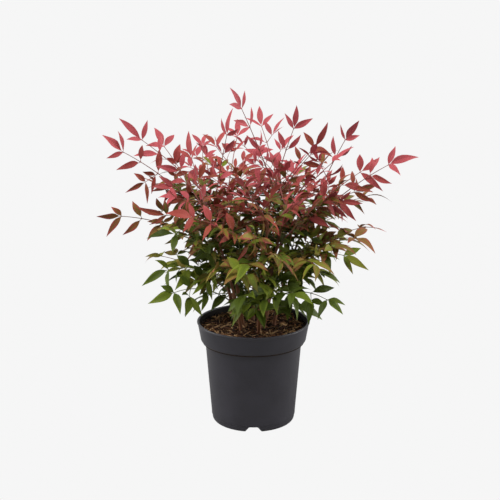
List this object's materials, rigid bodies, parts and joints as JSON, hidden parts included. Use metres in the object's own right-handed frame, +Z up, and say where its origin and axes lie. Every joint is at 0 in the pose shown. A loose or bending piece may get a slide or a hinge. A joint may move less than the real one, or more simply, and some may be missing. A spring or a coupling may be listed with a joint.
{
  "type": "heavenly bamboo shrub in a nursery pot",
  "caption": "Bushy shrub of thin canes and pinnate fronds, red above and green below, in a round tapered nursery pot with a deep collar, filled with soil.",
  "frame": {"origin": "centre of the pot's flat underside, on the surface that the pot stands on", "axes": "+Z up along the pot's axis, -Y the plant's front, below which one drain arch of the pot shows, +X to the right seen from the front"},
  "size_m": [0.5161, 0.4365, 0.5741],
  "materials": {
    "pot": "matt charcoal, thin blow-moulded wall",
    "soil": "moist bark and peat with a little perlite",
    "stem": "thin reddish brown bark",
    "leaf_dark_green": "satin leaf",
    "leaf_green": "satin leaf",
    "leaf_olive": "satin leaf",
    "leaf_bronze": "satin leaf",
    "leaf_red": "satin leaf",
    "leaf_coral": "satin leaf"
  },
  "bodies": {
    "root": {"pot": "pot", "soil": "soil", "stem_1": "stem", "stem_2": "stem", "stem_3": "stem", "stem_4": "stem", "stem_5": "stem", "stem_6": "stem", "stem_7": "stem", "stem_8": "stem", "stem_9": "stem", "crown_1": "leaf_coral", "crown_2": "leaf_red", "crown_3": "leaf_red", "crown_4": "leaf_bronze", "crown_5": "leaf_bronze", "crown_6": "leaf_red", "crown_7": "leaf_red", "crown_8": "leaf_bronze", "crown_9": "leaf_bronze", "frond_1_1": "leaf_dark_green", "frond_1_2": "leaf_olive", "frond_1_3": "leaf_green", "frond_1_4": "leaf_olive", "frond_2_1": "leaf_dark_green", "frond_2_2": "leaf_green", "frond_2_3": "leaf_green", "frond_2_4": "leaf_olive", "frond_3_1": "leaf_olive", "frond_3_2": "leaf_olive", "frond_3_3": "leaf_green", "frond_3_4": "leaf_dark_green", "frond_4_1": "leaf_dark_green", "frond_4_2": "leaf_olive", "frond_4_3": "leaf_olive", "frond_4_4": "leaf_green", "frond_5_1": "leaf_green", "frond_5_2": "leaf_olive", "frond_5_3": "leaf_olive", "frond_5_4": "leaf_bronze", "frond_6_1": "leaf_green", "frond_6_2": "leaf_dark_green", "frond_6_3": "leaf_green", "frond_6_4": "leaf_olive", "frond_6_5": "leaf_bronze", "frond_7_1": "leaf_dark_green", "frond_7_2": "leaf_dark_green", "frond_7_3": "leaf_dark_green", "frond_7_4": "leaf_green", "frond_7_5": "leaf_bronze", "frond_8_1": "leaf_dark_green", "frond_8_2": "leaf_dark_green", "frond_8_3": "leaf_dark_green", "frond_8_4": "leaf_olive", "frond_8_5": "leaf_olive", "frond_9_1": "leaf_green", "frond_9_2": "leaf_green", "frond_9_3": "leaf_dark_green", "frond_9_4": "leaf_olive", "frond_9_5": "leaf_bronze"}
  },
  "joints": []
}
